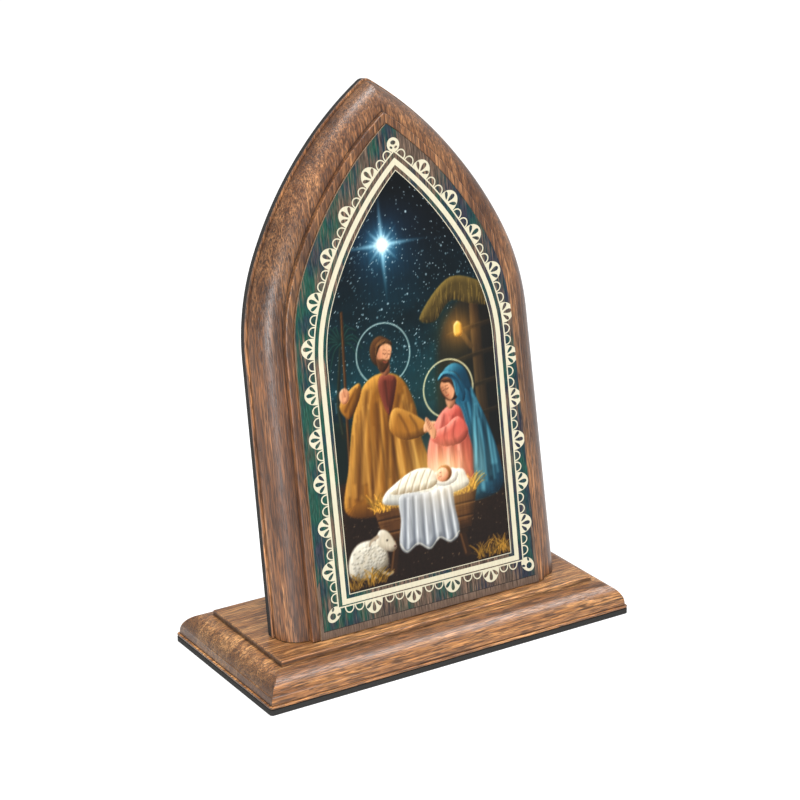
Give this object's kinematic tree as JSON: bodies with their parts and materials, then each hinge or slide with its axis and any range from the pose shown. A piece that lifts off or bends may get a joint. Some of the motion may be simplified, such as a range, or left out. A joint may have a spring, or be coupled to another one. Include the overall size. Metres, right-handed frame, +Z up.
{
  "type": "nativity shrine",
  "caption": "Tabletop nativity shrine: a moulded pointed-arch wooden plaque with a thin printed panel, leaning back on a stepped wooden base.",
  "frame": {"origin": "middle of the underside of the base", "axes": "+Z up, the printed front faces -Y, +X to the right of someone who looks at the front"},
  "size_m": [0.12, 0.055, 0.157],
  "materials": {
    "base_pad": "matt charcoal sheet",
    "base": "satin varnished walnut-brown",
    "plaque": "satin varnished walnut-brown",
    "plaque_backing": "matt charcoal sheet",
    "picture_panel": "satin printed veneer, teal border with cream lace"
  },
  "bodies": {
    "root": {"base_pad": "base_pad", "base": "base", "plaque": "plaque", "plaque_backing": "plaque_backing", "picture_panel": "picture_panel"}
  },
  "joints": []
}
